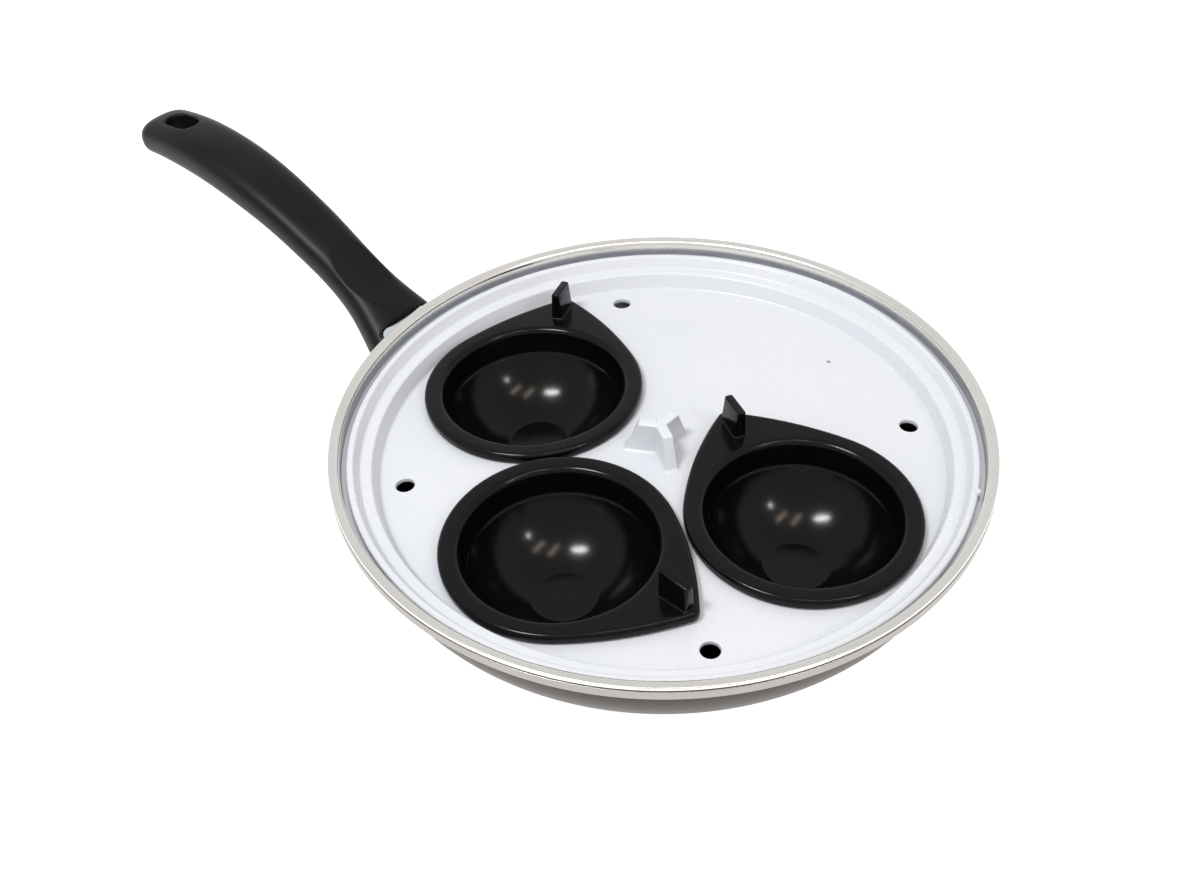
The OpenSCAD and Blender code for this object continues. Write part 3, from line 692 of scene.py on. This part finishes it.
def cup_rings():
    """The cup's surface from the middle of its bowl out over the lip and flange, and back underneath."""
    outline = flange_points()

    def at_edge(inset, z):
        ring = []
        for centre, radius, a in outline:
            x, y = on_circle(radius - inset, a)
            ring.append((centre[0] + x, centre[1] + y, z))
        return ring

    directions = [math.degrees(math.atan2(y, x)) for x, y, _ in at_edge(0, 0)]

    def turned(radius, z):
        return [(0, 0, z)] if radius < ON_AXIS else [(*on_circle(radius, a), z) for a in directions]

    bowl_top = mouth_r - wall_draft - ring_w
    bowl_z = (bowl_top ** 2 - disc_r ** 2 + ring_depth ** 2 - cup_depth ** 2) / (2 * (cup_depth - ring_depth))
    bowl_r = math.hypot(disc_r, cup_depth + bowl_z)
    low = math.degrees(math.atan2(-cup_depth - bowl_z, disc_r))
    high = math.degrees(math.atan2(-ring_depth - bowl_z, bowl_top))
    lip = (mouth_r + lip_r, -lip_r)
    inner = [(0, -cup_depth + 0.05), (disc_r - 1.2, -cup_depth + 0.05), (disc_r - 0.5, -cup_depth + 0.02)]
    inner += arc((0, bowl_z), bowl_r, low + 0.5, high - 1.5, 36)
    inner += soften([
        (bowl_top - 0.5, -ring_depth - 1.0, 0), (mouth_r - wall_draft, -ring_depth + 0.1, 1.6),
        (mouth_r - 0.45, -ring_depth / 2 - 1.0, 0),
    ], closed=False, steps=6)
    inner += arc(lip, lip_r, 180, 90, 12)
    rings = [turned(*p) for p in inner]
    rings += [at_edge(edge_top + 0.6, 0)]
    rings += [at_edge(edge_top - x, z - edge_top) for x, z in arc((0, 0), edge_top, 90, 0, 8)]
    rings += [
        at_edge(edge_bottom - x, -skirt_h + edge_bottom + z) for x, z in arc((0, 0), edge_bottom, 0, -75, 6)
    ]
    rings += [at_edge(cup_t - 0.1, -skirt_h), at_edge(cup_t, -skirt_h + 0.15), at_edge(cup_t, -cup_t - 0.4)]
    rings += [at_edge(cup_t + 0.4, -cup_t)]
    outer = [(mouth_r + lip_r, -cup_t)] + arc(lip, lip_r - cup_t, 90, 180, 8)[1:]
    outer += [(mouth_r - wall_draft + cup_t, -ring_depth)]
    outer += arc((0, bowl_z), bowl_r + cup_t, high, low, 24) + [(0, -cup_depth - cup_t)]
    return rings + [turned(*p) for p in outer]


def tab_rings():
    """The lifting tab: a fin with a flared foot, drafted sides and a rounded top that falls to the tip."""
    turn = Matrix.Rotation(math.radians(-tab_twist), 2)
    rings = []
    for z, out in stem_levels(tab_h, sink=0.6, flare=0.45, flare_steps=5, middles=(0.3, 0.6), top_round=0.55):
        share = max(z, 0) / tab_h
        half = (tab_w + (tab_top_w - tab_w) * share) / 2 + out
        long = tab_len / 2 + out
        r = max(min(0.7 + out, 0.9 * half), 0.1)
        ring = soften([(-long, -half, r), (long, -half, r), (long, half, r), (-long, half, r)], steps=5)
        fall = (tab_h - tab_end_h) / tab_len * share
        placed = [turn @ Vector(p) for p in ring]
        rings.append([
            (tab_mid + q.x, tab_aside + q.y, z - fall * (p[0] + tab_len / 2)) for p, q in zip(ring, placed)
        ])
    return rings


def make_cup(index, angle, distance, tip_turn):
    """A cup with its tab, stood in its seat and turned so that its tip points in this direction."""
    up = math.sqrt(dome_r ** 2 - (flange_r - cup_t) ** 2) + rest_gap + skirt_h
    place = on_plate(angle, distance, up) @ Matrix.Rotation(math.radians(tip_turn - angle), 4, "Z")
    cup = solid(f"cup_{index}_moulded", cup_rings(), place)
    combine(cup, [solid("tab", tab_rings(), place)], "UNION")
    dress(cup, "cup_" + "abc"[index - 1], "cup_plastic", [f"cup_{index}"], cup_black)
    smooth(cup, 30)


def blend(values, u):
    """The value at u, from 0 to 1, on a smooth line through evenly spaced values."""
    last = len(values) - 1
    i = min(int(u * last), last - 1)
    f = u * last - i
    a, b, c, d = values[max(i - 1, 0)], values[i], values[i + 1], values[min(i + 2, last)]
    bend = f * f * (a - 2.5 * b + 2 * c - d / 2) + f ** 3 * (1.5 * (b - c) + (d - a) / 2)
    return b + f * (c - a) / 2 + bend


def path_z(s):
    """The height of the grip's middle line at this distance from the pan's axis."""
    u = (s - path_from) / path_len
    v = 1 - u
    return (
        v ** 3 * grip_pan_z + 3 * v * v * u * (grip_pan_z + path_rise)
        + 3 * v * u * u * (grip_tip_z + path_fall) + u ** 3 * grip_tip_z
    )


def path_slope(s):
    step = 0.01
    return math.atan2(path_z(s + step) - path_z(s - step), 2 * step)


def grip_ring(s, sides):
    """The grip's cross section there, a squared oval with the thumb rest sunk into its top."""
    u = max(0.0, (s - grip_root) / (grip_end - grip_root))
    q = max(0.0, (s - (grip_end - tip_round)) / tip_round)
    end = math.sqrt(max(0.0, 1 - q * q))
    half_w, half_t = blend(grip_widths, u) * end / 2, blend(grip_depths, u) * end / 2
    slope, z = path_slope(s), path_z(s)
    ring = []
    for i in range(sides):
        c, d = on_circle(1, 360 * i / sides)
        y = half_w * math.copysign(abs(c) ** (2 / grip_square), c)
        h = half_t * math.copysign(abs(d) ** (2 / grip_square), d)
        if d > 0:
            r = ((s - rest_at) / rest_half[0]) ** 2 + (y / rest_half[1]) ** 2
            h -= rest_d * max(0.0, 1 - r) ** rest_edge
        ring.append((-(s - h * math.sin(slope)), y, z + h * math.cos(slope)))
    return ring


def box_tool(name, low, high):
    """A plain box between two corners."""
    (x0, y0, z0), (x1, y1, z1) = low, high
    rings = [[(x0, y0, z), (x1, y0, z), (x1, y1, z), (x0, y1, z)] for z in (z0, z1)]
    return solid(name, rings)


def guard_ring(x, grow):
    """The flame guard's outline at x, grown all round."""
    w, h, r = guard_w / 2 + grow, guard_h / 2 + grow, guard_corner + grow
    corners = [(-w, -h, r), (w, -h, r), (w, h, r), (-w, h, r)]
    return [(x, y, guard_z + z) for y, z in soften(corners, steps=8)]


def tang_cutter(bend, up, fit):
    """A cutter for the tang's slot, from a little before its bend along the direction up."""
    slope = math.radians(tang_slope)
    side = Vector((math.sin(slope), 0, math.cos(slope))) * (tang_t / 2 + fit)
    start, tip = bend - up * 4, bend + up * (tang_len + fit)
    rings = []
    for y in (-tang_w / 2 - fit, tang_w / 2 + fit):
        across = Vector((0, y, 0))
        rings.append([tuple(p + across) for p in (start - side, tip - side, tip + side, start + side)])
    return solid("tang_cut", rings)


def screw_cutter(bend, up):
    """A cutter for the well of the screw's head, open downwards."""
    turn = Matrix.Rotation(math.pi - math.radians(tang_slope), 4, "Y")
    well_r, seat, far = screw_head_r + 0.3, tang_t / 2 + clamp_t, 60
    well = spun([(0, seat), (well_r, seat), (well_r, far), (0, far)], 48)
    return solid("screw_cut", well, Matrix.Translation(bend + up * screw_at) @ turn)


def hang_cutter():
    """A cutter for the long hanging hole, square to the grip."""
    straight = (hang_len - hang_w) / 2
    hole = [(x + straight, y) for x, y in arc((0, 0), hang_w / 2, -90, 90, 20)]
    hole += [(x - straight, y) for x, y in arc((0, 0), hang_w / 2, 90, 270, 20)]
    place = Matrix.Translation((-hang_at, 0, path_z(hang_at)))
    turn = Matrix.Rotation(path_slope(hang_at), 4, "Y")
    return solid("hole_cut", [[(x, y, z) for x, y in hole] for z in (-30, 30)], place @ turn)


def make_grip():
    """The grip: a swelling body with a dished thumb rest, cut for the guard, tang, screw and hanging hole."""
    count, sides, crowding, tip_gap = 190, 112, 1.6, 0.02
    rings = []
    for i in range(count):
        q = i / (count - 1)
        s = grip_root + (grip_end - grip_root) * (1 - (1 - q) ** crowding) - tip_gap * (q == 1)
        rings.append(grip_ring(s, sides))
    grip = solid("grip_moulded", rings)
    fit, inner_x, window_in = grip_fit, -50, 4.5
    slope = math.radians(tang_slope)
    up, bend = Vector((-math.cos(slope), 0, math.sin(slope))), Vector((-tang_bend_at, 0, tang_z))
    half = guard_w / 2 + fit
    combine(grip, [
        solid("end_cut", spun([(0, -60), (grip_start, -60), (grip_start, 120), (0, 120)], 360)),
        solid("guard_cut", [guard_ring(x, fit) for x in (-guard_end - fit, inner_x)]),
        box_tool("window", (-grip_start - window_in, -half, guard_z), (inner_x, half, 90)),
        tang_cutter(bend, up, fit),
        screw_cutter(bend, up),
        hang_cutter(),
    ])
    remesh = grip.modifiers.new("even", "REMESH")
    remesh.mode = "VOXEL"
    remesh.voxel_size = grip_voxel * MM
    soft = grip.modifiers.new("soft", "SMOOTH")
    soft.factor = 0.5
    soft.iterations = grip_smoothing
    bake_shape(grip)
    dress(grip, "pan", "grip_plastic", ["grip"], grip_black)
    smooth(grip, 60)


def finish_frame_nodes():
    """The small metal pieces keep their CAD shapes, and get finishes of their own."""
    for node, material in (
        ("handle_bracket", bracket_steel), ("bracket_rivets", rivet_alloy), ("flame_guard", guard_steel_painted_blue_reflection),
        ("grip_screw", screw_zinc), ("screw_washer", screw_zinc),
    ):
        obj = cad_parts[node]
        obj.data.materials.clear()
        obj.data.materials.append(material)


def make_stage():
    """The plain pale floor."""
    f = Finish("floor_pale")
    cloud = f.noise(f.stretched(0.004, 0.004, 0.004), detail=2.0)
    pale = f.surface(
        Base_Color=f.mixed(cloud, (0.40, 0.40, 0.40), (0.42, 0.42, 0.42)), Roughness=0.6,
        Specular_IOR_Level=0.1, Emission_Color=(1.0, 1.0, 1.0, 1.0), Emission_Strength=0.95,
    )
    mesh = bpy.data.meshes.new("floor")
    far, below = 4.0, 0.0002
    corners = [(-far, -far, 0), (far, -far, 0), (far, far, 0), (-far, far, 0)]
    mesh.from_pydata(corners, [], [(0, 1, 2, 3)])
    mesh.materials.append(pale)
    floor = add_object("floor", mesh)
    floor.location.z = -below


def make_world():
    """Pale surroundings, a little dimmer overhead."""
    world = bpy.data.worlds.new("studio")
    bpy.context.scene.world = world
    world.use_nodes = True
    tree = world.node_tree
    tree.nodes.clear()
    stops = ((0.0, (0.80, 0.78, 0.75, 1)), (0.5, (0.80, 0.80, 0.80, 1)), (1.0, (0.70, 0.71, 0.73, 1)))
    place = add_node(tree, "ShaderNodeTexCoord")
    parts = add_node(tree, "ShaderNodeSeparateXYZ", (), {0: place.outputs["Generated"]})
    ramp = add_node(tree, "ShaderNodeValToRGB", {"stops": stops}, {0: parts.outputs["Z"]})
    back = add_node(tree, "ShaderNodeBackground", (), {0: ramp.outputs[0]})
    add_node(tree, "ShaderNodeOutputWorld", (), {0: back.outputs[0]})


def add_light(
    name, azimuth, height, distance, size, radiance,
    colour=(1, 1, 1), shape="DISK", other=None, along=(0, 0, 1),
):
    """A flat light that faces the pan, placed by its direction.

    The radiance is what a mirror would show of it, and along is the direction in which its longer side runs.
    """
    data = bpy.data.lights.new(name, "AREA")
    data.shape = shape
    data.size = size
    area = math.pi / 4 * size * size
    if other is not None:
        data.size_y = other
        area = size * other * (math.pi / 4 if shape == "ELLIPSE" else 1)
    data.energy = radiance * area * math.pi
    data.color = colour
    light = add_object(name, data)
    a, e = math.radians(azimuth), math.radians(height)
    way = Vector((math.cos(a) * math.cos(e), math.sin(a) * math.cos(e), math.sin(e)))
    aim = Vector((0, 0, 0.03))
    light.location = way * distance + aim
    light.rotation_mode = "QUATERNION"
    x = (Vector(along) - way * way.dot(Vector(along))).normalized()
    light.rotation_quaternion = Matrix((x, way.cross(x), way)).transposed().to_quaternion()


def make_lights():
    """A long softbox and a small round light, and two tan strips that show in the cups."""
    tan = (1.0, 0.78, 0.60)
    cool = (0.97, 0.98, 1.0)
    add_light("softbox", -97, 60, 1.6, 0.50, 80.0, cool, "ELLIPSE", 0.16, (0.863, 0.435, 0.258))
    add_light("small_round", -2, 41, 1.6, 0.10, 90.0)
    add_light("strip_left", -6, 57, 1.7, 0.46, 17.0, tan, "RECTANGLE", 0.09, (0.02, 0.98, 0.1))
    add_light("strip_right", -34, 67, 1.7, 0.46, 17.0, tan, "RECTANGLE", 0.09, (0.02, 0.98, 0.2))


def make_camera():
    """The camera that was fitted to the photograph."""
    data = bpy.data.cameras.new("camera")
    data.sensor_width = 36
    data.lens = 45
    data.clip_start = 0.01
    camera = add_object("camera", data)
    place, target = Vector((219.46, -272.02, 349.65)), Vector((-13.2, -13.63, 38.35))
    ahead = (target - place).normalized()
    turn, roll = math.radians(42), math.radians(-2.23)
    right = Vector((math.cos(turn), math.sin(turn), 0))
    up = right.cross(ahead)
    r = math.cos(roll) * right + math.sin(roll) * up
    u = math.cos(roll) * up - math.sin(roll) * right
    axes = Matrix((r, u, -ahead)).transposed().to_4x4()
    camera.matrix_world = Matrix.Translation(place * MM) @ axes
    bpy.context.scene.camera = camera


make_pan()
make_tray()
make_cup(1, 180 + tray_turn, seat_at - 0.5, 118)
make_cup(2, 270 + tray_turn, seat_at, 4.5)
make_cup(3, 0.6 + tray_turn, seat_at, 157)
make_grip()
finish_frame_nodes()
make_stage()
make_world()
make_lights()
make_camera()
bpy.context.scene.view_settings.view_transform = "Standard"
